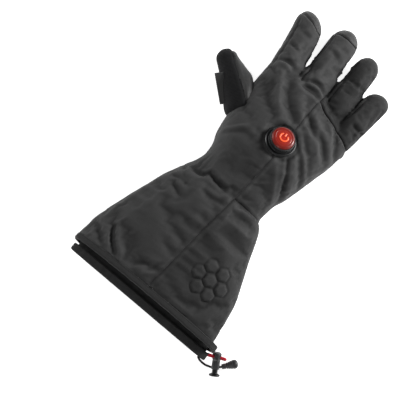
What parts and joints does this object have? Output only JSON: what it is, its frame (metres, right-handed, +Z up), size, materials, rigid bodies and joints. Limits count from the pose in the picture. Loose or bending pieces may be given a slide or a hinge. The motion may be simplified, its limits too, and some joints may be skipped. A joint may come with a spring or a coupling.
{
  "type": "heated glove",
  "caption": "Right-hand padded heated gauntlet glove with flared cuff, hem, inner gaiter with drawcord lock, lit push button on the back and a wiper blade on the thumb.",
  "frame": {"origin": "under the middle of the glove's bounding box without its drawcord hardware, on the surface that it lies on", "axes": "+Y from the cuff to the fingertips, +Z up out of the back of the hand, +X from the thumb to the little finger"},
  "size_m": [0.1964, 0.349, 0.0644],
  "materials": {
    "shell_cloth": "charcoal softshell, matt",
    "finger_cloth": "dark charcoal softshell, matt",
    "leather": "fine-grained goatskin, slightly satin",
    "knit": "black stretch knit",
    "gaiter_cloth": "black ripstop",
    "wiper_rubber": "grey rubber",
    "black_plastic": "black, matt",
    "red_lens": "translucent red, lit from behind",
    "red_symbol": "bright orange-red",
    "red_cord": "braided crimson cord"
  },
  "bodies": {
    "glove": {"index_tip_cap": "leather", "middle_tip_cap": "leather", "back_main_panel": "shell_cloth", "ring_little_back": "finger_cloth", "back_side_panel": "shell_cloth", "cuff_side_panel": "shell_cloth", "palm": "leather", "palm_heel": "leather", "cuff_under_panel": "shell_cloth", "fourchette_index_middle": "knit", "fourchette_middle_ring": "knit", "fourchette_ring_little": "knit", "thumb_face": "leather", "thumb_back": "knit", "thumb_wiper": "wiper_rubber", "cuff_hem": "shell_cloth", "gaiter": "gaiter_cloth", "gaiter_binding": "gaiter_cloth", "drawcord": "red_cord", "cord_lock_barrel": "black_plastic", "cord_tether": "gaiter_cloth", "pull_tab": "black_plastic", "button_flange": "black_plastic", "button_barrel": "black_plastic", "zip": "black_plastic", "zip_pull": "red_cord"},
    "button_cap": {"button_lens": "red_lens", "button_symbol": "red_symbol", "button_symbol_bar": "red_symbol"},
    "lock_plunger": {"cord_lock_plunger": "black_plastic"}
  },
  "joints": [
    {"name": "button_press", "type": "slide", "parent": "glove", "child": "button_cap", "axis": [0, -0.2419, -0.9703], "range_m": [0, 0.0008], "stiffness_N_per_m": 1500},
    {"name": "lock_press", "type": "slide", "parent": "glove", "child": "lock_plunger", "axis": [-0.5018, 0.8352, 0.225], "range_m": [0, 0.003], "stiffness_N_per_m": 600}
  ]
}
